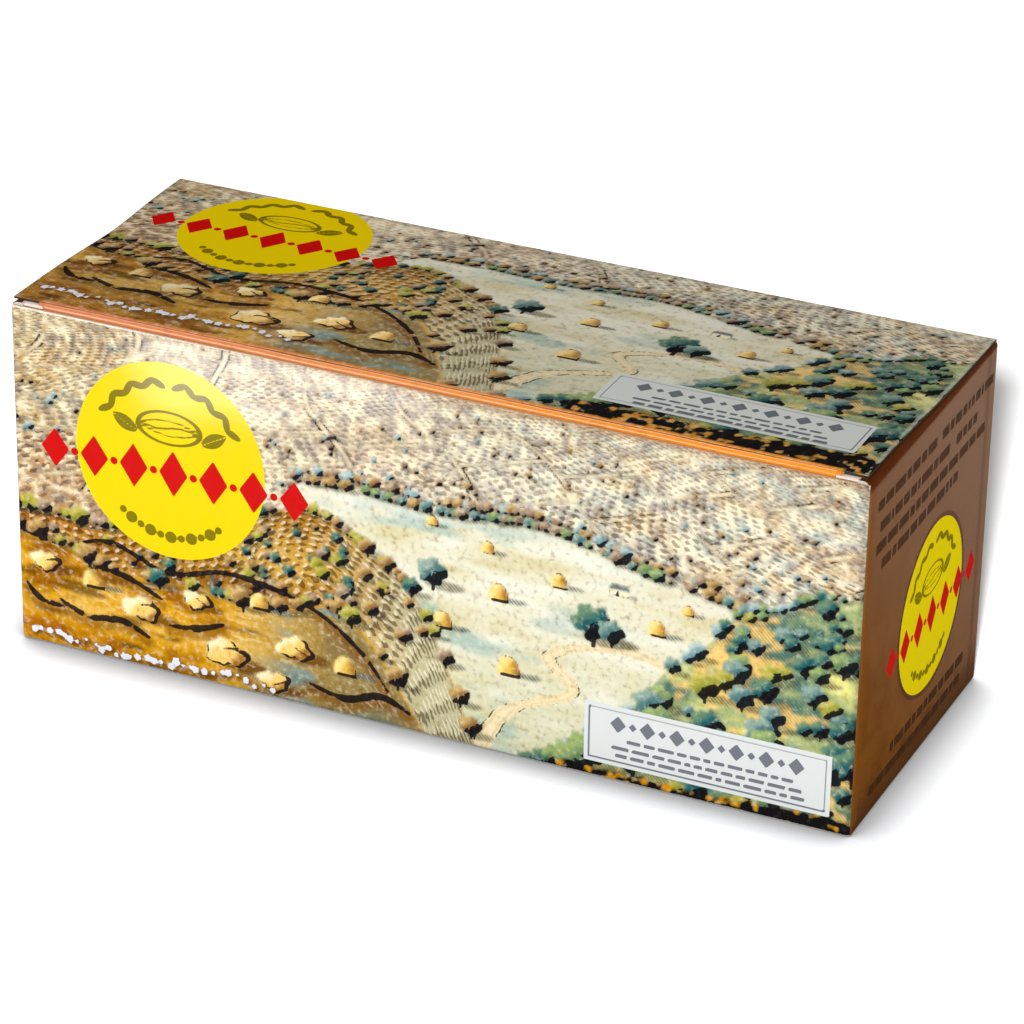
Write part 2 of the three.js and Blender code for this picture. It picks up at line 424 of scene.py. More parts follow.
    def far_fields(self):
        """Orchards in a patchwork that narrows with distance: a plane seen from above, cut into parcels."""
        long_side = 58.0
        short_side = 36.0
        parcel_turn = np.radians(24)
        middle = 120
        eye_height = 136
        pitch = 5.4
        u, v = self.u, self.v
        self.wash[:] = linear((216, 196, 172))
        self.tint(smooth(85, 5, u) * 0.85, (190, 166, 116))
        depth = 1 / scale_at(v)
        bend = 8 * (cloud(u, v, 40, 3) - 0.5)
        a, b = turned((u - middle) * depth, eye_height * depth, parcel_turn)
        a = a + bend
        b = b + bend
        a = a + 6 * np.sin(b / 23)
        i = np.floor(a / long_side).astype(int)
        b = b + 15 * (i % 2)
        j = np.floor(b / short_side).astype(int)
        parcels = 40
        pick = np.random.default_rng(5)
        tone = pick.random((parcels, parcels))[i % parcels, j % parcels]
        turn_kind = np.floor(pick.random((parcels, parcels))[i % parcels, j % parcels] * 3)
        row_turn = turn_kind * np.pi / 5 + 0.2
        along, across = turned(a, b, row_turn)
        self.row_a = along * 2 * np.pi / pitch
        self.row_b = across * 2 * np.pi / pitch
        self.dots[:] = 0.55 + 0.4 * tone
        self.tint(smooth(0.5, 1.0, tone) * 0.5, (206, 174, 126))
        patches = cloud(u * 0.5, v, 9, 13)
        self.blotted(1, patches, [(0.5, 0.75, 0.6, (206, 174, 118)), (0.5, 0.25, 0.6, (242, 230, 200))])
        self.tint(smooth(0.58, 0.7, cloud(u * 0.6, v, 6, 17)) * 0.5, (196, 192, 166))
        self.tint(smooth(90, 140, u) * 0.7, (220, 219, 203))
        drift = cloud(u * 0.5, v, 3.4, 19)
        self.tint(smooth(0.54, 0.68, drift) * smooth(120, 180, u) * 0.6, (164, 186, 184))
        self.tint(smooth(0.46, 0.32, drift) * smooth(120, 180, u) * 0.55, (216, 178, 116))
        self.tint(smooth(60, 10, u) * smooth(72, 46, v) * 0.75, (172, 122, 70))
        high = smooth(76, 92, v) * (0.3 + 0.35 * smooth(24, 48, u) * smooth(140, 104, u))
        self.tint(high, (184, 172, 148))
        self.tint(smooth(5, 0, u) * 0.4, (140, 104, 56))
        speck = cloud(u, v, 2.1, 101, 2)
        self.blotted(1, speck, [(0.5, 0.7, 0.65, (252, 242, 214)), (0.48, 0.28, 0.7, (152, 140, 134))])
        edge_a = long_side * (0.5 - np.abs(a / long_side - i - 0.5))
        edge_b = short_side * (0.5 - np.abs(b / short_side - j - 0.5))
        edge = np.minimum(edge_a, edge_b) * scale_at(v)
        broken = cloud(u, v, 4.0, 8)
        self.tint(smooth(-0.3, 0.3, 0.45 - edge) * smooth(0.35, 0.5, broken) * 0.7, PALE)
        hedge = 0.42 - np.abs(edge - 1.0) + np.minimum((broken - 0.46) * 8, 0)
        self.tint(smooth(-0.4, 0.3, hedge) * 0.65, (120, 98, 76))
        self.draw(EVERYWHERE, np.minimum(hedge - 0.12, (broken - 0.56) * 5))
        self.dots *= 1 - 0.25 * smooth(66, 96, v)

    def wheat_plain(self):
        """The pale plain behind the hills, brushed with streaks that run along it."""
        u, v = self.u, self.v
        crest = self.crest(66, [(2.6, 23, 0.4), (1.0, 8, 2.0)])
        crest = crest - 15 * smooth(115, 225, u) - 60 * smooth(84, 48, u)
        form = self.hill(crest, (224, 220, 196))
        inside = smooth(0, 3, form)
        self.tint(inside * smooth(42, 5, v) * 0.8, (206, 206, 176))
        streak = cloud(u * 0.25, v, 3.5, 21)
        self.blotted(inside, streak, [(0.5, 0.8, 0.6, (238, 238, 226)), (0.5, 0.25, 0.6, (206, 194, 148))])
        dew = cloud(u * 0.3, v, 6.0, 27)
        self.tint(inside * smooth(0.5, 0.7, dew) * smooth(185, 130, u) * 0.65, (146, 178, 172))
        self.tint(inside * smooth(7, 0, form) * 0.4, (240, 242, 236))
        return crest

    def vine_hill(self):
        """The brown hill in the middle, planted in rows that follow its crest."""
        u = self.u
        knoll = 15 * np.exp(-(((u - 84) / 27) ** 2))
        crest = self.crest(40, [(1.8, 17, 4.4), (1.0, 6.5, 0.7)]) + knoll - 75 * smooth(108, 150, u)
        form = self.hill(crest, (174, 132, 66), rows=1.0, pitch=2.9, curve=0.35)
        inside = smooth(0, 2, form)
        self.tint(inside * smooth(50, 0, u) * 0.85, (150, 84, 32))
        light = cloud(u * 0.6, self.v, 11, 31)
        self.blotted(inside, light, [(0.5, 0.78, 0.5, (222, 186, 108)), (0.5, 0.25, 0.7, (158, 116, 56))])
        self.tint(inside * smooth(86, 118, u) * 0.8, (186, 188, 160))
        return crest

    def meadow(self):
        """The green slope that climbs to the right, with tan clearings. It gives its crest."""
        u, v = self.u, self.v
        level = -16 + 10 * smooth(112, 138, u) + 62 * smooth(128, 240, u) + 13 * smooth(150, 186, u)
        crest = level + 2.2 * np.sin(u / 7.5) + 1.2 * np.sin(u / 3.1)
        form = crest - v
        self.cover(EVERYWHERE, form, (158, 170, 122), 0.5)
        inside = smooth(0, 2, form)
        tone = cloud(u * 0.55, v, 6, 41)
        self.blotted(inside, tone, [(0.52, 0.72, 0.9, (232, 226, 150)), (0.5, 0.3, 0.9, (72, 112, 104))])
        clearing = cloud(u * 0.5, v, 5, 47)
        self.tint(inside * smooth(0.57, 0.64, clearing) * 0.85, (232, 196, 126))
        self.tint(inside * smooth(3.5, 0, form) * 0.6, (200, 206, 172))
        self.hatch = np.maximum(self.hatch, inside * smooth(0.5, 0.3, tone) * 0.5)
        return crest

    def stubble_hill(self):
        """The golden ground in front: fine broken furrows that bend with the hill, and blots of shade."""
        u, v = self.u, self.v
        crest = self.crest(29, [(3.6, 20, 2.2), (1.2, 7.5, 1.1)]) - 62 * smooth(86, 146, u)
        form = self.hill(crest, (212, 162, 70), rows=0.5, pitch=2.4, curve=1.4)
        ragged = cloud(u * 0.3, v, 2.0, 57)
        self.row_b = np.where(form > 0, np.pi / 2, self.row_b)
        self.row_a = np.where(form > 0, self.row_a + 4.0 * ragged, self.row_a)
        self.dots = np.where(form > 0, 0.55 * smooth(0.4, 0.65, cloud(u * 0.4, v, 4.0, 59)), self.dots)
        inside = smooth(0, 2, form)
        tone = cloud(u * 0.5, v, 6, 51)
        self.blotted(inside, tone, [(0.5, 0.75, 0.8, (228, 188, 108)), (0.52, 0.25, 0.9, (146, 92, 28))])
        self.tint(inside * smooth(50, 0, u) * smooth(18, 0, v) * 0.7, (184, 118, 24))
        brush = cloud(u * 0.22, v, 2.6, 55)
        self.tint(inside * smooth(0.58, 0.72, brush) * 0.8, (92, 60, 26))
        self.tint(inside * smooth(50, 100, u) * 0.85, (128, 118, 84))
        dew = cloud(u * 0.25, v, 5.0, 53)
        self.tint(inside * smooth(0.5, 0.66, dew) * smooth(60, 90, u) * 0.85, (112, 150, 152))
        return crest

    def flowers(self, start, stop, level):
        """Small white blooms in a wavy row along the lower edge."""
        rng = np.random.default_rng(77)
        at = start
        while at < stop:
            size = 0.5 + 0.6 * rng.random()
            cv = level + 2.0 * rng.random() + 0.9 * np.sin(at / 7)
            area, u, v = self.around(at, cv, 3)
            petals = 1 + 0.3 * np.sin(5 * np.arctan2(v, u) + 6 * rng.random())
            leaf = size - np.hypot(u - 0.4, v + 0.5)
            self.lay(area, smooth(-1.2, 0.5, leaf) * 0.9, (104, 66, 30))
            self.dab(area, size * petals - np.hypot(u, v * (0.8 + 0.5 * rng.random())))
            at += 1.3 + 1.7 * rng.random()

    def dark_hedge(self, start, stop):
        """The hedge along the lower right edge, near black, with golden blossom."""
        u, v = self.u, self.v
        ends = np.minimum(u - start, stop - u)
        top = 1.4 + 2.4 * cloud(u, v * 0.6, 3.2, 81) + 1.5 * smooth(195, 225, u)
        form = np.minimum(top - v, ends * 0.4)
        mask = self.cover(EVERYWHERE, form, (44, 42, 18), 0.3)
        bloom = cloud(u, v, 2.1, 83, 2)
        self.tint(mask * smooth(0.62, 0.7, bloom), (214, 152, 36))
        self.draw(EVERYWHERE, np.minimum(form - 0.1, (0.58 - bloom) * 5))

    def stroke(self, points, width, flatten=1.0, taper=0.0):
        """How deep each point lies in a stroke: a smooth line through the points, of a wavering width.

        Between two knots the line is the cubic that passes through both and leans as their neighbours do.
        """
        knots = np.asarray(points, float)
        last = len(knots) - 1
        t = np.linspace(0, last, 34 * last + 1)
        k = np.clip(np.floor(t).astype(int), 0, last - 1)
        f = (t - k)[:, None]
        p0, p1, p2, p3 = (knots[np.clip(k + shift, 0, last)] for shift in (-1, 0, 1, 2))
        line = p1 + 0.5 * ((p2 - p0) * f + (2 * p0 - 5 * p1 + 4 * p2 - p3) * f**2)
        line = line + 0.5 * (3 * p1 - p0 - 3 * p2 + p3) * f**3
        waver = 0.65 + 0.7 * cloud(line[:, 0], line[:, 1], 2.5, 93)
        ends = 1 - taper * (2 * t / last - 1) ** 2
        form = np.full(self.u.shape, FAR_AWAY)
        for (pu, pv), share in zip(line, waver * ends):
            half = width * share * scale_at(pv) ** 1.5
            area = self.window(pu, pv, half + 2.5)
            gap = np.hypot(self.u[area] - pu, (self.v[area] - pv) * flatten)
            form[area] = np.maximum(form[area], half - gap)
        return form

    def mound(self, cu, cv, size):
        """A tussock of dry grass: a lobed dome, pale on the left, brown on the right, with an inked foot."""
        area, u, v = self.around(cu, cv, size * 2.6, size * 0.4)
        shadow = size * 0.9 - np.hypot((u - size * 0.7) * 0.7, (v + size * 0.4) * 2.6)
        self.lay(area, smooth(-0.5, 0.4, shadow) * 0.85, (104, 66, 24))
        angle = np.arctan2(v, u)
        phase = self.rng.random(3) * 2 * np.pi
        lobes = 0.13 * np.sin(3 * angle + phase[0]) + 0.09 * np.sin(7 * angle + phase[1])
        dome = size * (1 + lobes) - np.hypot(u, v * 1.6)
        mask = self.cover(area, dome, (242, 206, 130), 0.25)
        side = (0.8 * u - v) / size + 0.8 * (cloud(u + cu, v + cv, size * 0.6, 73) - 0.5)
        self.lay(area, mask * smooth(0.1, 0.7, side) * 0.9, (146, 94, 38))
        self.lay(area, mask * smooth(-0.1, -0.8, side) * 0.9, (255, 244, 206))
        wave = 0.25 * np.sin(6 * angle + phase[2])
        self.draw(area, np.minimum(0.62 - np.abs(dome - 0.15), side * 1.4 + wave + 0.1))
        self.draw(area, np.minimum(0.3 - np.abs(dome - 0.1), side + 0.7 + wave))
        crack = 0.34 - np.abs(v - 0.25 * size * np.sin(2.2 * u / size + phase[1]))
        self.draw(area, np.minimum(np.minimum(crack, dome - 0.3), u + 0.1 * size))

    def bank(self, points, width):
        """A dark line along a slope, with brown shade below it."""
        line = self.stroke(points, width, 1.1, 0.6)
        below = np.roll(line, -3, axis=0)
        self.tint(smooth(-2.2, 0.2, below) * 0.65, (124, 78, 32))
        ragged = cloud(self.u, self.v, 1.6, 95) - 0.38
        self.draw(EVERYWHERE, np.minimum(line, line * 0.4 + ragged * 2.2))


def painted_picture():
    """The whole print, from the far country to the near ground."""
    picture = Picture()
    picture.far_fields()
    picture.grove(320, picture.v > 60, 1.9, [RUSSET, EARTH, EARTH, SLATE], ((0, 230), (60, 95)), 3)
    plain = picture.wheat_plain()
    picture.hedgerow(plain + 2.5, 80, 232, 3.0, 1.2, [EARTH, RUSSET, EARTH, SLATE], 0.2)
    picture.hedgerow(plain, 84, 232, 2.9, 1.4, [EARTH, RUSSET, DUSK, LEAF], 0.15)
    far_lane = [(232, 47), (214, 50), (196, 45), (206, 39), (190, 34)]
    near_lane = [(168, 37), (150, 31), (156, 22), (138, 12), (128, -8)]
    picture.lane(far_lane + near_lane, 2.4)
    picture.haystacks([(118, 60, 2.0), (133, 56, 2.3), (186, 51, 2.0), (152, 51, 2.8), (206, 45, 2.3)])
    picture.haystacks([(136, 44, 3.3), (178, 44, 3.0), (121, 33, 3.3), (139, 24, 3.8)])
    picture.barn(168, 52.5, 2.6)
    for cu, cv, size in [(161, 43, 5.2), (166, 41.5, 3.4), (118, 47, 4.0)]:
        picture.tree(cu, cv, size, DUSK if size < 5 else PINE)
    vines = picture.vine_hill()
    picture.hedgerow(vines, 0, 150, 3.0, 1.25, [RUSSET, EARTH, RUSSET, LIME, PINE], 0.1)
    picture.barn(60, 48, 2.8)
    vine_trees = [RUSSET, LIME, EARTH, PINE, PINE]
    picture.grove(110, vines - picture.v > 4, 2.4, vine_trees, ((0, 120), (26, 52)), 9)
    stubble = picture.stubble_hill()
    picture.bank([(-4, 33), (12, 30), (27, 34), (44, 29), (62, 33), (84, 29), (98, 20), (106, 10)], 1.2)
    picture.hedgerow(stubble, 0, 128, 3.1, 1.7, [RUSSET, PINE, LIME, RUSSET], 0.35)
    picture.haystacks([(70, 26, 3.4), (22, 21, 3.8), (94, 13, 3.8)])
    mounds = [(8, 24, 4.2), (36, 17, 5.4), (52, 23, 4.0), (60, 10, 6.0), (80, 16, 5.0), (74, 5, 4.4)]
    for cu, cv, size in mounds:
        picture.mound(cu, cv, size)
    near_banks = [[(12, 14), (20, 11), (30, 12), (38, 9)], [(44, 14), (52, 15), (60, 18)]]
    side_banks = [[(84, 7), (94, 5), (104, 8), (112, 5)], [(2, 17), (6, 13), (13, 12)]]
    side_banks += [[(22, 26), (32, 25), (42, 21)]]
    for width, banks in [(1.3, near_banks), (1.2, side_banks)]:
        for points in banks:
            picture.bank(points, width)
    crest = picture.meadow()
    picture.hedgerow(crest, 134, 232, 2.8, 1.3, [DUSK, LEAF, PINE, SLATE], 0.2)
    meadow_trees = [PINE, LEAF, DUSK, PINE, PINE, LIME]
    picture.grove(210, picture.v < crest - 1, 4.0, meadow_trees, ((130, 231), (0, 68)), 12)
    picture.flowers(4, 74, 1.9)
    picture.dark_hedge(150, 236)
    grey = picture.wash.mean(-1, keepdims=True)
    picture.wash = np.clip(grey + (picture.wash - grey) * 1.18, 0, 1)
    return picture


# What is printed over the picture. A disc and what is on it are drawn to a radius of DISC_UNITS.


def disc_forms(u, v, place):
    """The yellow disc, the olive drawing on it and the red lozenges across it, as forms."""
    (cu, cv), radius = place
    unit = radius / DISC_UNITS
    x = (u - cu) / unit
    y = (v - cv) / unit
    disc = DISC_UNITS - np.hypot(x, y)
    drawn = np.full(x.shape, FAR_AWAY)
    ring = 20.9
    for k in [*range(-7, 0), *range(1, 8)]:
        angle = np.pi / 2 - k * 0.145
        tilt = angle - np.pi / 2 + np.sign(k) * (0.55 if k % 2 else -0.55)
        a, b = turned(x - ring * np.cos(angle), y - ring * np.sin(angle), tilt)
        drawn = np.maximum(drawn, 0.95 - np.hypot(a * 0.4, b))
    for k in range(-5, 6):
        angle = -np.pi / 2 + k * 0.14
        bead = 1.0 if k % 2 else 1.6
        drawn = np.maximum(drawn, bead - np.hypot(x - ring * np.cos(angle), y - ring * np.sin(angle)))
    ny = y - 9.0
    nut = 5.4 - np.hypot(x * 0.62, ny * 1.25)
    drawn = np.maximum(drawn, 0.42 - np.abs(nut))
    drawn = np.maximum(drawn, np.minimum(0.28 - np.abs(ny - 0.5 * np.sin(x / 2.2)), nut))
    for side in (-1, 1):
        ridge = ny - side * 2.0 * (1 - (x / 8.8) ** 2)
        drawn = np.maximum(drawn, np.minimum(0.24 - np.abs(ridge), nut - 0.5))
        a, b = turned(x - side * 12.4, ny + 0.8, side * 0.5)
        leaf = 1.9 * (1 - (a / 4.2) ** 2) - np.abs(b)
        drawn = np.maximum(drawn, np.minimum(leaf, np.abs(b) - 0.14))
    red = np.full(x.shape, FAR_AWAY)
    row = y + 3.2
    for k in range(-3, 4):
        gap = x - k * 11.2 - 1.0
        tall = 6.3 - 0.3 * abs(k)
        red = np.maximum(red, (1 - np.abs(gap) / 4.0 - np.abs(row) / tall) * 3.0)
        if k < 3:
            red = np.maximum(red, 1.05 - np.hypot(gap - 5.6, row))
    return disc * unit, drawn * unit, red * unit


def plate_forms(u, v, place):
    """The white plate and what is printed on it: a thin frame, a row of diamonds and plain rules."""
    (u0, v0), (u1, v1) = place
    cu = (u0 + u1) / 2
    half_u = (u1 - u0) / 2
    half_v = (v1 - v0) / 2
    plate = np.minimum(half_u - np.abs(u - cu), half_v - np.abs(v - (v0 + v1) / 2))
    drawn = 0.24 - np.abs(plate - 1.3)
    for k in range(13):
        gap = u - (u0 + 9 + k * (u1 - u0 - 18) / 12)
        large = 1.0 if k % 2 == 0 else 0.5
        tall = np.abs(gap) / (2.1 * large) + np.abs(v - v1 + 5.0) / (2.4 * large)
        drawn = np.maximum(drawn, (1 - tall) * 1.2 * large)
    lines = [(cu - 21, cu + 20, v1 - 9.3), (cu - 25, cu + 24, v1 - 11.6), (cu - 24, cu + 25, v1 - 13.7)]
    return plate, np.maximum(drawn, rule_forms(u, v, lines, 0.5, 57))


def rule_forms(y, z, lines, half, seed, longest=4.8):
    """Rules of a half height, each broken into dashes of random lengths, from 1.4 to the longest.

    A line is (start, stop, height).
    """
    rng = np.random.default_rng(seed)
    drawn = np.full(y.shape, FAR_AWAY)
    for start, stop, level in lines:
        at = start
        while at < stop:
            run = 1.4 + (longest - 1.4) * rng.random()
            middle = at + run / 2
            dash = np.minimum(run / 2 - np.abs(y - middle), half - np.abs(z - level))
            drawn = np.maximum(drawn, dash)
            at += run + 0.8
    return drawn


# Boards as surfaces.


def spread(low, high, step):
    """Evenly spaced lines from low to high, no farther apart than a step."""
    return np.linspace(low, high, int(math.ceil((high - low) / step)) + 1)


# How far inside a fold's start its lines lie, so that they divide its arc evenly.
FOLD_STEPS = FOLD_RADIUS * np.tan(np.linspace(0, np.pi / 4, 6))[1:]


def fold_lines(low, high, step, low_fold, high_fold):
    """Lines from low to high. Where an end is a fold, its last stretch is divided so that its arc is even."""
    lines = spread(low + low_fold * FOLD_RADIUS, high - high_fold * FOLD_RADIUS, step)
    if low_fold:
        lines = np.concatenate([(low + FOLD_RADIUS - FOLD_STEPS)[::-1], lines])
    if high_fold:
        lines = np.concatenate([lines, high - FOLD_RADIUS + FOLD_STEPS])
    return lines


def folded(points, top_fold=False, side_folds=True):
    """Rounds the folds of the square box.

    A point's offset from the box's core is set to the length of its largest part, and keeps its direction.
    """
    low = np.array([FOLD_RADIUS - HALF_LENGTH, FOLD_RADIUS - HALF_DEPTH, FOLD_RADIUS])
    high = np.array([HALF_LENGTH - FOLD_RADIUS, HALF_DEPTH - FOLD_RADIUS, HEIGHT])
    if top_fold:
        high[2] = HEIGHT - FOLD_RADIUS
    if not side_folds:
        low[0] = -HALF_LENGTH
        high[0] = HALF_LENGTH
    core = np.clip(points, low, high)
    offset = points - core
    reach = np.abs(offset).max(-1, keepdims=True)
    length = np.linalg.norm(offset, axis=-1, keepdims=True)
    return core + offset * np.divide(reach, length, out=np.ones_like(length), where=length > 0)


def swell(points, flat):
    """Moves each wall out by its bow at its middle, with a slow uneven warp, and by nothing at its edges.

    Where a point of the flat box lies along an axis is x, y or z from -1 to 1. A wall's hill is 1 minus the
    square of the one, times 1 minus the square of the other. The warp moves only a wall's own points.
    """
    x = flat[..., 0] / HALF_LENGTH
    y = flat[..., 1] / HALF_DEPTH
    z = 2 * flat[..., 2] / HEIGHT - 1
    hill_yz = np.clip((1 - y * y) * (1 - z * z), 0, 1)
    hill_xz = np.clip((1 - x * x) * (1 - z * z), 0, 1)
    hill_xy = np.clip((1 - x * x) * (1 - y * y), 0, 1)
    warp = WARP * np.sin(3.1 * x + 2.2 * z + 1.0) * np.cos(2.6 * y - 1.7 * x + 0.6)
    moved = points.copy()
    moved[..., 0] += (END_WALL_BOW * x + warp * np.sign(x) * (np.abs(x) > AT_WALL)) * hill_yz
    moved[..., 1] += (LONG_WALL_BOW * y + warp * np.sign(y) * (np.abs(y) > AT_WALL)) * hill_xz
    moved[..., 2] += (LID_BOW * np.maximum(z, 0) + warp * (z > AT_WALL)) * hill_xy
    return moved


def sleeve(shape):
    """The indices of a grid whose rows close on themselves, and the faces between each two rows."""
    index = np.arange(shape[0] * shape[1]).reshape(shape)
    near = index[:-1]
    far = index[1:]
    faces = np.stack([near, np.roll(near, -1, 1), np.roll(far, -1, 1), far], -1)
    return index, faces.reshape(-1, 4)


def edge_loop(shape, corners):
    """The grid's points along straight runs between corners (i, j), once round, as indices."""
    rows, columns = shape
    loop = []
    for (i0, j0), (i1, j1) in zip(corners, corners[1:] + corners[:1]):
        count = max(abs(i1 - i0), abs(j1 - j0))
        i = np.rint(np.linspace(i0, i1, count + 1)).astype(int)[:-1]
        j = np.rint(np.linspace(j0, j1, count + 1)).astype(int)[:-1]
        loop.append(j * columns + i)
    return np.concatenate(loop)


def mesh_piece(name, points, faces, smooth_faces, materials, material_index, attributes):
    """Makes an object from points in millimetres and faces given as arrays of corner indices."""
    mesh = bpy.data.meshes.new(name)
    sizes = np.concatenate([np.full(len(f), f.shape[1]) for f in faces])
    corners = np.concatenate([f.ravel() for f in faces])
    mesh.vertices.add(len(points))
    mesh.vertices.foreach_set("co", (points * MM).astype(np.float32).ravel())
    mesh.loops.add(len(corners))
    mesh.loops.foreach_set("vertex_index", corners.astype(np.int32))
    mesh.polygons.add(len(sizes))
    counts = [len(f) for f in faces]
    mesh.polygons.foreach_set("loop_start", np.concatenate([[0], np.cumsum(sizes)[:-1]]).astype(np.int32))
    mesh.polygons.foreach_set("use_smooth", np.repeat(smooth_faces, counts))
    mesh.polygons.foreach_set("material_index", np.repeat(material_index, counts).astype(np.int32))
    mesh.update(calc_edges=True)
    for key, values in attributes.items():
        padded = np.zeros((len(points), 3), np.float32)
        padded[: len(values)] = values
        mesh.attributes.new(key, "FLOAT_VECTOR", "POINT").data.foreach_set("vector", padded.ravel())
    mesh.validate()
    piece = placed(name, mesh)
    for material in materials:
        mesh.materials.append(material)
    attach(piece, "root")
    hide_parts("carton")
    return piece


def board_piece(name, grid, depth_axis, depth, materials, attributes):
    """A board as a closed slab: its outer face on the grid, its cut edges, and an inner face on a plane."""
    rows, columns = grid.shape[:2]
    index = np.arange(rows * columns).reshape(rows, columns)
    outer = np.stack([index[:-1, :-1], index[:-1, 1:], index[1:, 1:], index[1:, :-1]], -1).reshape(-1, 4)
    corners = [(0, 0), (columns - 1, 0), (columns - 1, rows - 1), (0, rows - 1)]
    loop = edge_loop((rows, columns), corners)
    inner_points = grid.reshape(-1, 3)[loop].copy()
    inner_points[:, depth_axis] = depth
    inner = rows * columns + np.arange(len(loop))
    rim = np.stack([loop, inner, np.roll(inner, -1), np.roll(loop, -1)], -1)
    cap = inner[::-1][None, :]
    points = np.concatenate([grid.reshape(-1, 3), inner_points])
    flat = {key: np.stack([part.ravel() for part in parts], -1) for key, parts in attributes.items()}
    return mesh_piece(name, points, [outer, rim, cap], [True, False, False], materials, [0, 1, 1], flat)


def block(x, y, z):
    """Three coordinates, spread over each other, as one grid of points."""
    return np.stack(np.broadcast_arrays(x, y, z), -1).astype(float)


# Inks and board, as materials.


class Ink:
    """A material's node tree, with one short call for each node."""

    def __init__(self, name):
        self.material = bpy.data.materials.new(name)
        self.material.use_nodes = True
        self.nodes = self.material.node_tree.nodes
        self.links = self.material.node_tree.links
        self.shader = self.nodes["Principled BSDF"]

    def join(self, value, socket):
        """Links an output to a socket, or sets the socket to a value."""
        if isinstance(value, bpy.types.NodeSocket):
            self.links.new(value, socket)
        else:
            socket.default_value = value

    def attribute(self, name):
        node = self.nodes.new("ShaderNodeAttribute")
        node.attribute_name = name
        return node.outputs["Vector"]

    def parts(self, vector):
        """The three numbers that a vector carries."""
        node = self.nodes.new("ShaderNodeSeparateXYZ")
        self.join(vector, node.inputs[0])
        return node.outputs[0], node.outputs[1], node.outputs[2]

    def place(self):
        """Where a point is on the object, in metres."""
        return self.nodes.new("ShaderNodeTexCoord").outputs["Object"]

    def math(self, operation, a, b=0.0, c=0.0):
        node = self.nodes.new("ShaderNodeMath")
        node.operation = operation
        self.join(a, node.inputs[0])
        self.join(b, node.inputs[1])
        self.join(c, node.inputs[2])
        return node.outputs[0]

    def step(self, x, low, high):
        """0 before low and 1 after high, eased between them."""
        node = self.nodes.new("ShaderNodeMapRange")
        node.interpolation_type = "SMOOTHSTEP"
        self.join(x, node.inputs["Value"])
        node.inputs["From Min"].default_value = low
        node.inputs["From Max"].default_value = high
        return node.outputs["Result"]

    def mix(self, share, a, b, blend="MIX"):
        node = self.nodes.new("ShaderNodeMix")
        node.data_type = "RGBA"
        node.blend_type = blend
        self.join(share, node.inputs[0])
        self.join(a, node.inputs[6])
        self.join(b, node.inputs[7])
        return node.outputs[2]

    def noise(self, vector, scale, detail=2.0, roughness=0.5):
        node = self.nodes.new("ShaderNodeTexNoise")
        self.join(vector, node.inputs["Vector"])
        node.inputs["Scale"].default_value = scale
        node.inputs["Detail"].default_value = detail
        node.inputs["Roughness"].default_value = roughness
        return node.outputs["Fac"]

    def bump(self, height, strength, distance, under=None):
        node = self.nodes.new("ShaderNodeBump")
        self.join(height, node.inputs["Height"])
        node.inputs["Strength"].default_value = strength
        node.inputs["Distance"].default_value = distance
        if under is not None:
            self.links.new(under, node.inputs["Normal"])
        return node.outputs["Normal"]

    def darkened(self, share, colour, rest):
        """Lets through only a part of each light of a colour, as strongly as the share says."""
        return self.mix(share, colour, (*rest, 1.0), "MULTIPLY")

    def over(self, under, colour, x, low=-PRINT_EDGE, high=PRINT_EDGE, share=None):
        """Lays a paper colour over what is there, eased in from where x is low to where it is high."""
        mask = self.step(x, low, high)
        if share is not None:
            mask = self.math("MULTIPLY", mask, share)
        return self.mix(mask, under, paint(colour))

    def finish(self, inputs):
        """Sets inputs of the shader, each to a value or to what a node gives, and gives the material."""
        for name, value in {"Specular IOR Level": BOARD_GLOSS, **inputs}.items():
            self.join(value, self.shader.inputs[name])
        return self.material


def paint(colour):
    """A paper colour of 0 to 255 as a socket value."""
    return (*linear(colour), 1.0)


def varnished(ink, colour, place):
    """Ends a printed face: paper grain and a slight unevenness under a thin satin varnish."""
    grain = ink.noise(place, 5200, 3.0, 0.6)
    swirl = ink.noise(place, 260, 2.0)
    tone = ink.math("MULTIPLY_ADD", grain, 0.10, 0.95)
    toned = ink.nodes.new("ShaderNodeVectorMath")
    toned.operation = "SCALE"
    ink.join(colour, toned.inputs[0])
    ink.join(tone, toned.inputs["Scale"])
    roughness = ink.math("MULTIPLY_ADD", swirl, 0.10, 0.10)
    normal = ink.bump(swirl, 0.10, 0.0004)
    normal = ink.bump(grain, 0.12, 0.00006, normal)
    return ink.finish({"Base Color": toned.outputs[0], "Roughness": roughness, "Normal": normal})


def worn(ink, colour, edge, place):
    """Lays bare the white fibres of the board along creases and cuts."""
    crumbs = ink.noise(place, 1500, 3.0, 0.65)
    ragged = ink.math("MULTIPLY_ADD", crumbs, -1.1, ink.math("ADD", edge, 0.55))
    return ink.over(colour, (236, 232, 220), ragged, 0.08, -0.08, 0.85)


def stamped(ink, colour, forms, yellow, olive, red):
    """Lays on the disc, the drawing on it and the row across it, each in its ink."""
    disc, drawn, row = forms
    colour = ink.over(colour, yellow, disc)
    colour = ink.over(colour, olive, ink.math("MINIMUM", drawn, disc), share=0.9)
    return ink.over(colour, red, row)


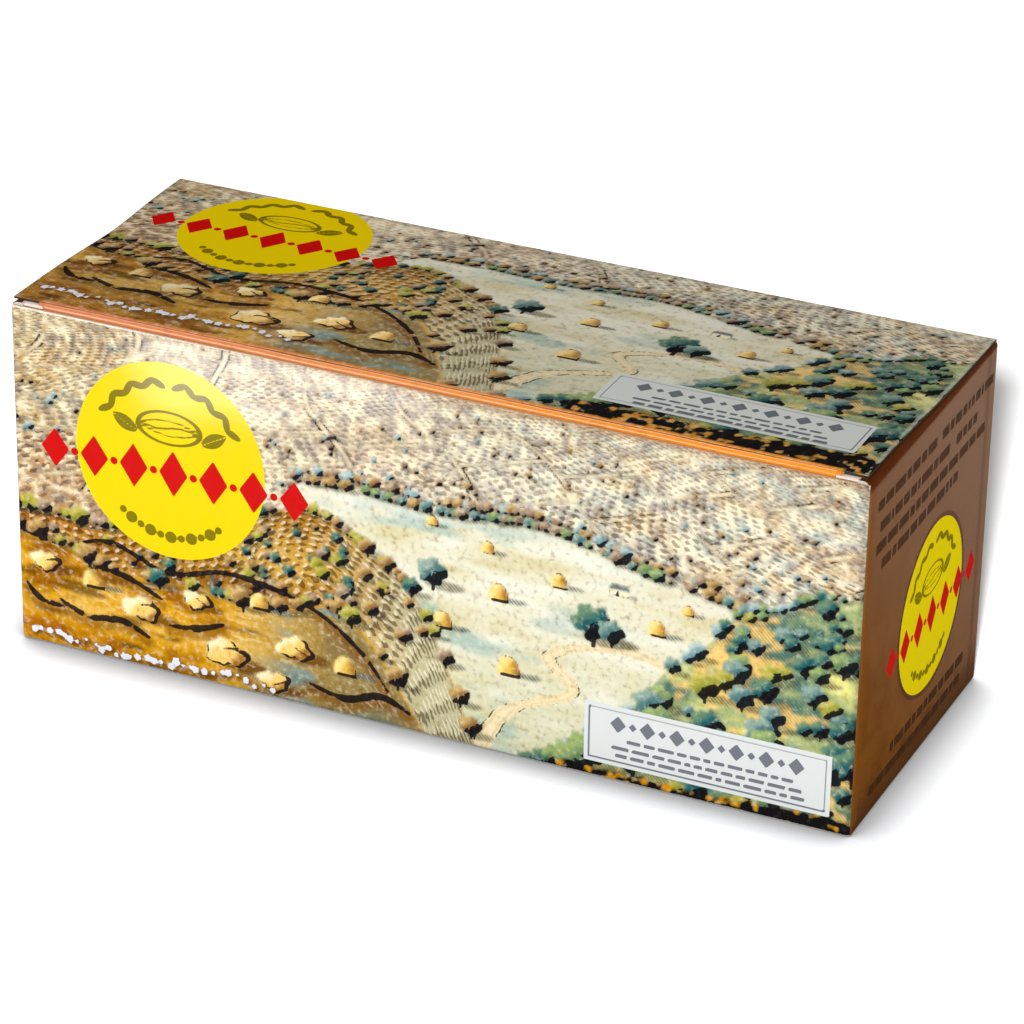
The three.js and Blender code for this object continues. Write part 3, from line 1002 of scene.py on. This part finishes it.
def picture_ink():
    """The printed picture: washes, rows, hatching, drawn lines and white, then the disc and the plate."""
    ink = Ink("printed_picture")
    place = ink.place()
    rough_edge = ink.math("MULTIPLY_ADD", ink.noise(place, 1900, 2.0), 0.36, -0.18)
    wash = ink.attribute("wash")
    drawn, white, dots = ink.parts(ink.attribute("drawn"))
    row_a, row_b, hatch = ink.parts(ink.attribute("rows"))
    stamp = ink.parts(ink.attribute("stamp"))
    plate, rules, edge = ink.parts(ink.attribute("plate"))
    blot = ink.noise(place, 640, 2.0, 0.5)
    colour = ink.over(wash, PALE, blot, 0.5, 0.8, 0.35)
    colour = ink.darkened(ink.step(blot, 0.5, 0.15), colour, (0.62, 0.52, 0.42))

    # Rows of plants: two waves that cross, each with a dark side and a lit one.
    shake_a = ink.math("MULTIPLY_ADD", ink.noise(place, 420, 1.0), 5.5, row_a)
    shake_b = ink.math("MULTIPLY_ADD", ink.noise(place, 470, 1.0), 5.5, row_b)
    wave = ink.math("ADD", ink.math("SINE", shake_a), ink.math("SINE", shake_b))
    vary = ink.math("MULTIPLY_ADD", ink.noise(place, 230, 2.0), 4.0, -2.0)
    ragged = ink.math("MULTIPLY_ADD", rough_edge, 1.6, ink.math("ADD", wave, vary))
    dark_dot = ink.math("MULTIPLY", ink.step(ragged, 0.5, 0.9), ink.math("MULTIPLY", dots, 0.85))
    colour = ink.darkened(dark_dot, colour, (0.32, 0.26, 0.22))
    lit_a = ink.math("SINE", ink.math("ADD", shake_a, 2.0))
    lit = ink.math("ADD", lit_a, ink.math("SINE", ink.math("ADD", shake_b, 2.0)))
    colour = ink.over(colour, (255, 244, 216), lit, 0.9, 1.4, ink.math("MULTIPLY", dots, 0.4))

    # Hatching: fine lines that run askew to every wall.
    x, y, z = ink.parts(place)
    slant = ink.math("ADD", ink.math("ADD", x, y), z)
    line = ink.math("SINE", ink.math("MULTIPLY", slant, 2 * math.pi / HATCH_PITCH))
    colour = ink.over(colour, (60, 58, 48), line, 0.1, 0.6, ink.math("MULTIPLY", hatch, 0.55))

    colour = ink.over(colour, (22, 20, 24), ink.math("ADD", drawn, rough_edge), -PEN_EDGE, PEN_EDGE, 0.95)
    colour = ink.over(colour, (232, 235, 244), ink.math("ADD", white, rough_edge), -PEN_EDGE, PEN_EDGE)
    colour = stamped(ink, colour, stamp, (238, 209, 0), (112, 100, 10), (204, 14, 12))
    colour = ink.over(colour, (217, 221, 219), plate)
    colour = ink.over(colour, (92, 98, 108), ink.math("MINIMUM", rules, plate), share=0.9)
    return varnished(ink, worn(ink, colour, edge, place), place)


def brown_ink():
    """The brown of the ends and the bottom, with the disc and the dark rules of an end."""
    ink = Ink("printed_brown")
    place = ink.place()
    stamp = ink.parts(ink.attribute("stamp"))
    rules, fold, edge = ink.parts(ink.attribute("plate"))
    x, y, z = ink.parts(place)
    blot = ink.noise(place, 90, 4.0, 0.6)
    colour = ink.over(paint((118, 70, 18)), (132, 81, 29), blot, 0.3, 0.7)

    # Duller and paler towards the top and the back, a painted sheen, and darker at the foot, a painted shade.
    colour = ink.over(colour, (142, 109, 87), ink.math("ADD", z, y), -0.03, 0.12)
    colour = ink.over(colour, (90, 56, 32), z, 0.016, 0.0, 0.8)

    # A warm margin along the front edge, and a darker line beside the back one, a painted shade of the back
    # fold.
    above_foot = ink.step(z, 0.001, 0.004)
    colour = ink.over(colour, (136, 80, 22), y, -0.0400, -0.0424, ink.math("MULTIPLY", above_foot, 0.45))
    # Painted shade of the back fold, darkening a line beside it.
    crease = ink.step(ink.math("ABSOLUTE", ink.math("ADD", y, -0.0390)), 0.0021, 0.0006)
    colour = ink.darkened(ink.math("MULTIPLY", crease, above_foot), colour, (0.8, 0.78, 0.76))

    # Flecks, the dark fold at the top, painted shade under the lid's edge, the rules, and a thin ring round
    # the disc.
    colour = ink.over(colour, (104, 60, 26), ink.noise(place, 1400, 2.0, 0.6), 0.58, 0.75, 0.3)
    colour = ink.mix(ink.math("MULTIPLY", fold, 0.92), colour, paint((90, 37, 1)))
    colour = ink.over(colour, (58, 36, 24), rules, -0.12, 0.12, 0.75)
    colour = ink.over(colour, (84, 40, 48), stamp[0], -1.5, -1.1, 0.55)
    colour = stamped(ink, colour, stamp, (239, 216, 0), (120, 108, 10), (206, 28, 22))
    return varnished(ink, worn(ink, colour, edge, place), place)


def tuck_ink():
    """The orange brown of the tuck flap, as its fold catches the light."""
    ink = Ink("printed_orange")
    place = ink.place()
    x, y, z = ink.parts(place)
    along = ink.step(x, -HALF_LENGTH * MM, HALF_LENGTH * MM)
    colour = ink.mix(along, paint(ORANGE_LEFT), paint(ORANGE_RIGHT))
    blot = ink.noise(place, 300, 3.0)
    colour = ink.darkened(ink.step(blot, 0.5, 0.2), colour, (0.8, 0.76, 0.7))
    return varnished(ink, colour, place)


def board_core(name, shade, light):
    """The cut edge of the board: fibres in thin layers, between two tones."""
    ink = Ink(name)
    place = ink.place()
    fibre = ink.noise(place, 2600, 3.0, 0.7)
    colour = ink.mix(ink.step(fibre, 0.3, 0.7), paint(shade), paint(light))
    return ink.finish({"Base Color": colour, "Roughness": 0.85, "Normal": ink.bump(fibre, 0.4, 0.0001)})


# The boards.


def picture_attributes(picture, u, v, disc_place, plate_place, edge):
    """What a printed board carries at each of its points, read from the picture's grid between its lines.

    The edge says how far a point is from the nearest worn crease or cut.
    """
    i = np.clip((u - PRINT_LEFT) / PRINT_STEP, 0, len(picture.us) - 1.001)
    j = np.clip((v - PRINT_LOW) / PRINT_STEP, 0, len(picture.vs) - 1.001)
    i0 = i.astype(int)
    j0 = j.astype(int)
    s = i - i0
    t = j - j0

    def read(values):
        near = values[j0, i0] * (1 - s) + values[j0, i0 + 1] * s
        far = values[j0 + 1, i0] * (1 - s) + values[j0 + 1, i0 + 1] * s
        return near * (1 - t) + far * t

    plate, rules = plate_forms(u, v, plate_place)
    return {
        "wash": [read(picture.wash[..., k]) for k in range(3)],
        "drawn": [read(picture.ink), read(picture.white), read(picture.dots)],
        "rows": [read(picture.row_a), read(picture.row_b), read(picture.hatch)],
        "stamp": disc_forms(u, v, disc_place),
        "plate": [plate, rules, edge],
    }


def toned(bands, colour, share):
    """The three bands of a wash, each moved towards a colour by a share."""
    return [band + (part - band) * share for band, part in zip(bands, colour)]


def front_wall(picture, inks):
    """The long printed front. Its upper edge is a cut, whose ink is worn and given a painted highlight, most
    of all on the left.
    """
    top = HEIGHT - FRONT_EDGE_DROP
    x = fold_lines(-HALF_LENGTH, HALF_LENGTH, PRINT_STEP, 1, 1)[None, :]
    z = fold_lines(0, top, PRINT_STEP, 1, 0)[:, None]
    flat = block(x, -HALF_DEPTH, z)
    u = flat[..., 0] + HALF_LENGTH
    v = flat[..., 2]
    # Wear and a painted highlight: the pale band along the top edge reaches further down on the left.
    top_wear_and_highlight = 0.6 * smooth(130, 0, u) - 0.05
    corner = smooth(5, 0, HEIGHT - v) * smooth(LENGTH - 6, LENGTH, u)
    side_wear = 1.7 * corner - 0.7 + 0.5 * smooth(LENGTH, 0, u)
    edge = np.minimum(top - v - top_wear_and_highlight, np.minimum(u, LENGTH - u) - side_wear)
    edge = np.minimum(edge, v - 0.3)
    attributes = picture_attributes(picture, u, v, FRONT_DISC, FRONT_PLATE, edge)
    rub = smooth(2.4, 0, top - v) * (0.25 + 0.45 * smooth(0, 130, u))
    # Painted shade: the print is darkened towards the right fold, where it turns away from the light.
    shade = 1 - 0.35 * smooth(LENGTH - 2.2, LENGTH - 0.5, u)
    rubbed = toned(attributes["wash"], linear((176, 136, 92)), rub)
    attributes["wash"] = [band * shade for band in rubbed]
    board_piece("front_wall", swell(folded(flat), flat), 1, BOARD - HALF_DEPTH, inks, attributes)


def inside_cut(along, start, width):
    """Where a point lies between the two sides of a cut."""
    return (along > start + CUT_SLACK) & (along < start + width - CUT_SLACK)


def back_wall(picture, inks):
    """The back, printed as the front is. The cut edge of the glued seam is a groove one board deep."""
    x = fold_lines(-HALF_LENGTH, HALF_LENGTH, PRINT_STEP, 1, 1)
    seam = -HALF_LENGTH + SEAM_INSET
    cuts = [seam, seam + CUT_SLOPE, seam + SEAM_GAP - CUT_SLOPE, seam + SEAM_GAP]
    clear = (x < seam - 0.1) | (x > seam + SEAM_GAP + 0.1)
    x = np.sort(np.concatenate([x[clear], cuts]))[::-1][None, :]
    z = fold_lines(0, HEIGHT, PRINT_STEP, 1, 1)[:, None]
    flat = block(x, HALF_DEPTH, z)
    u = HALF_LENGTH - flat[..., 0]
    v = flat[..., 2]
    shaped = swell(folded(flat, top_fold=True), flat)
    groove = inside_cut(flat[..., 0], seam, SEAM_GAP)
    shaped[..., 1] -= BOARD * groove * (v > FOLD_RADIUS) * (v < HEIGHT - FOLD_RADIUS)
    edge = np.minimum(np.minimum(u, LENGTH - u), np.minimum(v, HEIGHT - v)) - 0.2
    edge = np.minimum(edge, np.abs(flat[..., 0] - seam) - 0.3)
    attributes = picture_attributes(picture, u, v, FRONT_DISC, FRONT_PLATE, edge)
    board_piece("back_wall", shaped, 1, HALF_DEPTH - 2 * BOARD, inks, attributes)


def lid_print(attributes, u, v, from_front):
    """The lid's print: duller than the front's, with a pale line by its right edge, partly wear and partly a
    painted highlight.

    Between the slits the orange of its fold runs over it in a strip along the front, with a ragged edge.
    """
    from_right = LENGTH - u
    # The pale line by the right edge: partly wear, partly a painted highlight along the cut.
    rim = smooth(1.4, 0.8, from_right) * smooth(-0.1, 0.3, from_right) * 0.6
    grey = sum(attributes["wash"]) / 3
    tone = 1 - 0.22 * smooth(66, 30, u) * smooth(30, 12, v)
    tone = tone + 0.2 * smooth(50, 66, u) * smooth(120, 104, u) * smooth(48, 34, v)
    quiet = [(band * 0.86 + 0.14 * grey) * tone for band in attributes["wash"]]
    rimmed = toned(quiet, linear((206, 212, 190)), rim)
    ragged = 0.6 * cloud(u, v, 5.0, 121) - 0.3
    strip = smooth(0.3, -0.3, from_front - ORANGE_STRIP + ragged)
    strip = strip * smooth(SLIT_LENGTH - 0.8, SLIT_LENGTH + 0.8, np.minimum(u, from_right))
    left = linear(ORANGE_LEFT)[:, None, None]
    right = linear(ORANGE_RIGHT)[:, None, None]
    attributes["wash"] = toned(rimmed, left + (right - left) * (u / LENGTH), strip)
    drawn, white, dots = attributes["drawn"]
    attributes["drawn"] = [drawn + FAR_AWAY * strip - 2 * rim, white + FAR_AWAY * strip, dots * (1 - strip)]


def lid(picture, inks):
    """The lid, with the same picture, from the hinge at the back to where its front edge starts to turn down.

    Its sides are cut a little short of the ends, most of all at the front of the right one.
    """
    front = -HALF_DEPTH + BOARD + SLOT_WIDTH + LID_FOLD_RADIUS
    x = spread(-HALF_LENGTH, HALF_LENGTH, PRINT_STEP)[None, :]
    y = fold_lines(front, HALF_DEPTH, PRINT_STEP, 0, 1)[:, None]
    flat = block(x, y, HEIGHT)
    u = flat[..., 0] + HALF_LENGTH
    v = flat[..., 1] + HALF_DEPTH - LID_PRINT_SHIFT
    edge = np.minimum(np.minimum(u - 0.2, LENGTH - u + 0.5), HALF_DEPTH - flat[..., 1] - 0.1)
    attributes = picture_attributes(picture, u, v, LID_DISC, LID_PLATE, edge)
    lid_print(attributes, u, v, flat[..., 1] - front)
    shaped = swell(folded(flat, top_fold=True, side_folds=False), flat)
    share = (flat[..., 1] - front) / (HALF_DEPTH - front)
    right = LID_TRIM_RIGHT + LID_TRIM_CORNER * smooth(0.75, 0.1, share)
    left = LID_TRIM_LEFT * np.exp(-(((share - 0.55) / 0.2) ** 2))
    shaped[..., 0] += left * smooth(LID_TRIM_REACH, 0, u) - right * smooth(LENGTH - LID_TRIM_REACH, LENGTH, u)
    board_piece("lid", shaped, 2, HEIGHT - BOARD, inks, attributes)


def tuck_fold(inks):
    """The lid's front fold and the flap below it: a profile carried along the box.

    The profile is a quarter circle and a straight run down, one board thick. It sways a little as it goes.
    """
    back = -HALF_DEPTH + BOARD + SLOT_WIDTH + LID_FOLD_RADIUS
    centre_z = HEIGHT - LID_FOLD_RADIUS
    angle = np.linspace(np.pi / 2, np.pi, 10)
    down = HEIGHT - SLOT_DEPTH - TUCK_BELOW_SLOT

    def arc(radius, turns):
        return [(back + radius * math.cos(t), centre_z + radius * math.sin(t)) for t in turns]

    outer = arc(LID_FOLD_RADIUS, angle)
    inner = arc(LID_FOLD_RADIUS - BOARD, angle[::-1])
    profile = np.array([*outer, (outer[-1][0], down), (inner[0][0], down), *inner])
    reach = HALF_LENGTH - SLIT_LENGTH
    x = spread(-reach, reach, 2.0)
    sway = 0.07 * np.sin(x / 21 + 0.4) + 0.05 * np.sin(x / 8.3 + 2.0)
    grid = np.zeros((len(x), len(profile), 3))
    grid[..., 0] = x[:, None]
    grid[..., 1] = profile[:, 0] + sway[:, None] * 0.6
    grid[..., 2] = profile[:, 1] - np.abs(sway[:, None])
    index, skin = sleeve(grid.shape[:2])
    ends = np.stack([index[0][::-1], index[-1]])
    mesh_piece("tuck_fold", grid.reshape(-1, 3), [skin, ends], [True, False], inks, [0, 1], {})


def end_wall(side, inks):
    """A brown end. Its top folds in under the lid, on a wider arc at the front than at the back.

    Above the wall a point turns about the fold: it moves in by the radius times 1 minus the turn's cosine,
    and up by the radius times its sine.
    """
    y = fold_lines(-HALF_DEPTH, HALF_DEPTH, PRINT_STEP, 1, 1)
    rise = fold_lines(0, 1, PRINT_STEP / HEIGHT, 0, 0)
    angle = np.linspace(0, np.pi / 2, 9)[1:]
    y = (y if side > 0 else y[::-1])[None, :]
    radius = END_FOLD_FRONT + (END_FOLD_BACK - END_FOLD_FRONT) * (y + HALF_DEPTH) / DEPTH
    top = HEIGHT - BOARD - radius
    wall_z = rise[:, None] * (top - FOLD_RADIUS) + FOLD_RADIUS
    foot_z = np.broadcast_to((FOLD_RADIUS - FOLD_STEPS[::-1])[:, None], (len(FOLD_STEPS), y.shape[1]))
    fold_z = np.broadcast_to(top, (len(angle) + 1, y.shape[1]))
    z = np.concatenate([foot_z, wall_z, fold_z])
    flat = block(side * HALF_LENGTH, y, z)
    shaped = swell(folded(flat), flat)
    turn = np.concatenate([np.zeros(len(foot_z) + len(wall_z)), angle, [np.pi / 2]])[:, None]
    run = np.zeros_like(turn)
    run[-1] = END_FLAP_RUN
    shaped[..., 0] -= side * (radius * (1 - np.cos(turn)) + run)
    shaped[..., 2] += radius * np.sin(turn)
    across = side * flat[..., 1]
    height = flat[..., 2]
    (disc_across, disc_up), disc_radius = END_DISC
    stamp = disc_forms(across, height, ((disc_across * side, disc_up), disc_radius))
    rules = rule_forms(across, height, END_RULES + END_LOW_RULES, 1.35, 33, 8.0)
    # The top fold's share of painted shade, where it lies under the lid's edge.
    fold = smooth(0.9 * radius, -0.1 * radius, top - height) * np.ones_like(rules)
    edge = np.minimum(HALF_DEPTH - np.abs(flat[..., 1]) + 0.3, height + 0.3)
    edge = np.where(turn > 0, 2.0, edge)
    attributes = {"stamp": stamp, "plate": [rules, fold, edge]}
    name = "right_end" if side > 0 else "left_end"
    board_piece(name, shaped, 0, side * (HALF_LENGTH - END_BLOCK), inks, attributes)


def bottom_face(inks):
    """The bottom, a grid that rises by one board in the gap round the cut edges of its glued flap."""
    reach = HALF_LENGTH - FLAP_INSET
    front = -HALF_DEPTH + FLAP_INSET
    gap = np.array([0, CUT_SLOPE, FLAP_GAP - CUT_SLOPE, FLAP_GAP])
    cuts_x = np.concatenate([reach - gap, gap - reach])
    cuts_y = front + gap
    x = np.unique(np.concatenate([fold_lines(-HALF_LENGTH, HALF_LENGTH, 4, 1, 1), cuts_x]))[None, :]
    y = np.unique(np.concatenate([fold_lines(-HALF_DEPTH, HALF_DEPTH, 4, 1, 1), cuts_y]))[::-1][:, None]
    flat = block(x, y, 0.0)
    shaped = folded(flat)
    inner_x = np.abs(flat[..., 0])
    hinge = HALF_DEPTH - FOLD_RADIUS
    y = flat[..., 1]
    side_gap = inside_cut(inner_x, reach - FLAP_GAP, FLAP_GAP) & (y > front + CUT_SLACK) & (y < hinge)
    front_gap = inside_cut(y, front, FLAP_GAP) & (inner_x < reach - CUT_SLACK)
    shaped[..., 2] += BOARD * (side_gap | front_gap)
    edge = np.minimum(HALF_LENGTH - inner_x, HALF_DEPTH - np.abs(flat[..., 1])) - 0.1
    nothing = np.full(flat.shape[:2], FAR_AWAY)
    attributes = {"stamp": [nothing, nothing, nothing], "plate": [nothing, nothing, edge]}
    board_piece("bottom_face", shaped, 2, 2.5 * BOARD, inks, attributes)


def lock_flap(side, inks):
    """The small flap that shows through the slit at an end of the lid's front fold, its raw side up."""
    x = np.linspace(HALF_LENGTH - LOCK_FLAP_LENGTH, HALF_LENGTH - LOCK_FLAP_INSET, 12)
    x = (x if side > 0 else -x[::-1])[None, :]
    y = np.linspace(-HALF_DEPTH + BOARD + 0.05, -HALF_DEPTH + LOCK_FLAP_DEPTH, 8)[:, None]
    flat = block(x, y, HEIGHT - BOARD - 0.02)
    flat[..., 2] -= 0.12 * smooth(2, 0, y + HALF_DEPTH - BOARD)
    name = "lock_flap_right" if side > 0 else "lock_flap_left"
    board_piece(name, flat, 2, HEIGHT - 2 * BOARD - 0.1, inks, {})


picture = painted_picture()
core = board_core("board_core", (178, 178, 168), (224, 222, 212))
pale_core = board_core("worn_core", (206, 154, 108), (230, 190, 146))
bare_core = board_core("bare_core", (242, 220, 208), (252, 238, 230))
# The lid's cut edge is dark: painted shade of the gap under its edge.
painted_shade_core = board_core("painted_shade_core", (44, 38, 28), (84, 72, 50))
picture_face = picture_ink()
brown_side = [brown_ink(), core]
front_wall(picture, [picture_face, pale_core])
back_wall(picture, [picture_face, core])
lid(picture, [picture_face, painted_shade_core])
tuck_fold([tuck_ink(), core])
for side in (1, -1):
    end_wall(side, brown_side)
bottom_face(brown_side)
for side in (1, -1):
    lock_flap(side, [bare_core, bare_core])


# Floor and light.

FLOOR_SIZE = 8.0
BACKDROP_REACH = 3.2
BACKDROP_COVE = 0.6
BACKDROP_HEIGHT = 3.5
BACKDROP_LIFT = 0.0005
BOX_MIDDLE = (0, 0, 0.05)
SUN_AZIMUTH = math.radians(15.4)
SUN_ELEVATION = math.radians(26.5)


def make_floor():
    """A pale matt plane, darkened along the box's foot by how much of the sky near a point is hidden: a
    painted shadow.
    """
    bpy.ops.mesh.primitive_plane_add(size=FLOOR_SIZE, location=(0, 0, 0))
    floor = bpy.context.object
    floor.name = "floor"
    ink = Ink("pale_floor")
    near = ink.nodes.new("ShaderNodeAmbientOcclusion")
    near.inputs["Distance"].default_value = 0.016
    # Painted contact shadow: the floor's colour is darker where the box hides the sky.
    open_share = ink.step(near.outputs["AO"], 0.35, 1.0)
    floor_colour = ink.mix(open_share, (0.122, 0.122, 0.122, 1), (0.425, 0.43, 0.44, 1))
    matt = {"Base Color": floor_colour, "Roughness": 0.9, "Specular IOR Level": 0.0}
    floor.data.materials.append(ink.finish(matt))
    floor.visible_glossy = False
    return floor


def make_backdrop():
    """A pale wall round the floor: a flat, a quarter circle and an upright, turned about the z axis."""
    wall = BACKDROP_REACH + BACKDROP_COVE
    bend = np.linspace(0, np.pi / 2, 9)
    reach = np.concatenate([[BACKDROP_REACH - 0.1], BACKDROP_REACH + BACKDROP_COVE * np.sin(bend), [wall]])
    rise = np.concatenate([[0], BACKDROP_COVE * (1 - np.cos(bend)), [BACKDROP_HEIGHT - BACKDROP_LIFT]])
    reach = reach[:, None]
    rise = BACKDROP_LIFT + rise[:, None]
    angle = np.linspace(0, 2 * np.pi, 97)[None, :-1]
    grid = block(reach * np.cos(angle), reach * np.sin(angle), rise)
    faces = sleeve(grid.shape[:2])[1]
    mesh = bpy.data.meshes.new("backdrop")
    mesh.from_pydata(grid.reshape(-1, 3).tolist(), [], faces.tolist())
    backdrop = placed("backdrop", mesh)
    dark = {"Base Color": (0, 0, 0, 1), "Roughness": 1.0, "Specular IOR Level": 0.0}
    glow = {"Emission Color": (0.9, 0.9, 0.9, 1), "Emission Strength": 1.0}
    mesh.materials.append(Ink("pale_backdrop").finish(dark | glow))
    backdrop.visible_diffuse = False
    backdrop.visible_glossy = False
    backdrop.visible_shadow = False


def area_light(name, place, target, size, watts, colour=(1, 1, 1)):
    """A rectangular soft light, turned to face a point."""
    light_data = bpy.data.lights.new(name, "AREA")
    light_data.shape = "RECTANGLE"
    light_data.size, light_data.size_y = size
    light_data.energy = watts
    light_data.color = colour
    light = placed(name, light_data)
    light.location = place
    aim = Vector(target) - Vector(place)
    light.rotation_euler = aim.to_track_quat("-Z", "Y").to_euler()
    return light


def floor_sun(floor):
    """A soft sun from a little left of the camera. It lights the floor alone, where the box shades it."""
    sun_data = bpy.data.lights.new("floor_sun", "SUN")
    sun_data.energy = 15.0
    sun_data.angle = math.radians(3.5)
    sun = placed("floor_sun", sun_data)
    sun.rotation_euler = towards(SUN_AZIMUTH, SUN_ELEVATION).to_track_quat("Z", "Y").to_euler()
    lit = bpy.data.collections.new("lit_by_floor_sun")
    lit.objects.link(floor)
    sun.light_linking.receiver_collection = lit


def sheen_card():
    """A small card of light in front of the upper part of the front's disc. It shows in the gloss alone."""
    card = area_light("sheen_card", (-0.083, -0.132, 0.053), (-0.083, 0, 0.053), (0.092, 0.026), 0.064)
    card.rotation_euler.rotate_axis("Z", math.radians(14))
    card.visible_camera = False
    card.visible_diffuse = False


def make_light(floor):
    """A dim warm sky that no gloss shows, three soft lights on the box, the card and the floor's sun."""
    world = bpy.data.worlds.new("studio")
    bpy.context.scene.world = world
    world.use_nodes = True
    world.node_tree.nodes["Background"].inputs["Color"].default_value = (1, 0.99, 0.96, 1)
    world.node_tree.nodes["Background"].inputs["Strength"].default_value = 0.22
    world.cycles_visibility.glossy = False
    bpy.context.scene.view_settings.view_transform = "Standard"
    area_light("overhead", (-0.45, 0.5, 1.3), BOX_MIDDLE, (0.9, 0.9), 9.0, (1, 0.955, 0.895))
    area_light("key", (-1.0, -1.95, 0.62), BOX_MIDDLE, (0.9, 0.9), 28)
    area_light("fill", (1.7, -0.5, 0.45), BOX_MIDDLE, (0.7, 0.7), 8.4)
    sheen_card()
    floor_sun(floor)


make_backdrop()
make_light(make_floor())
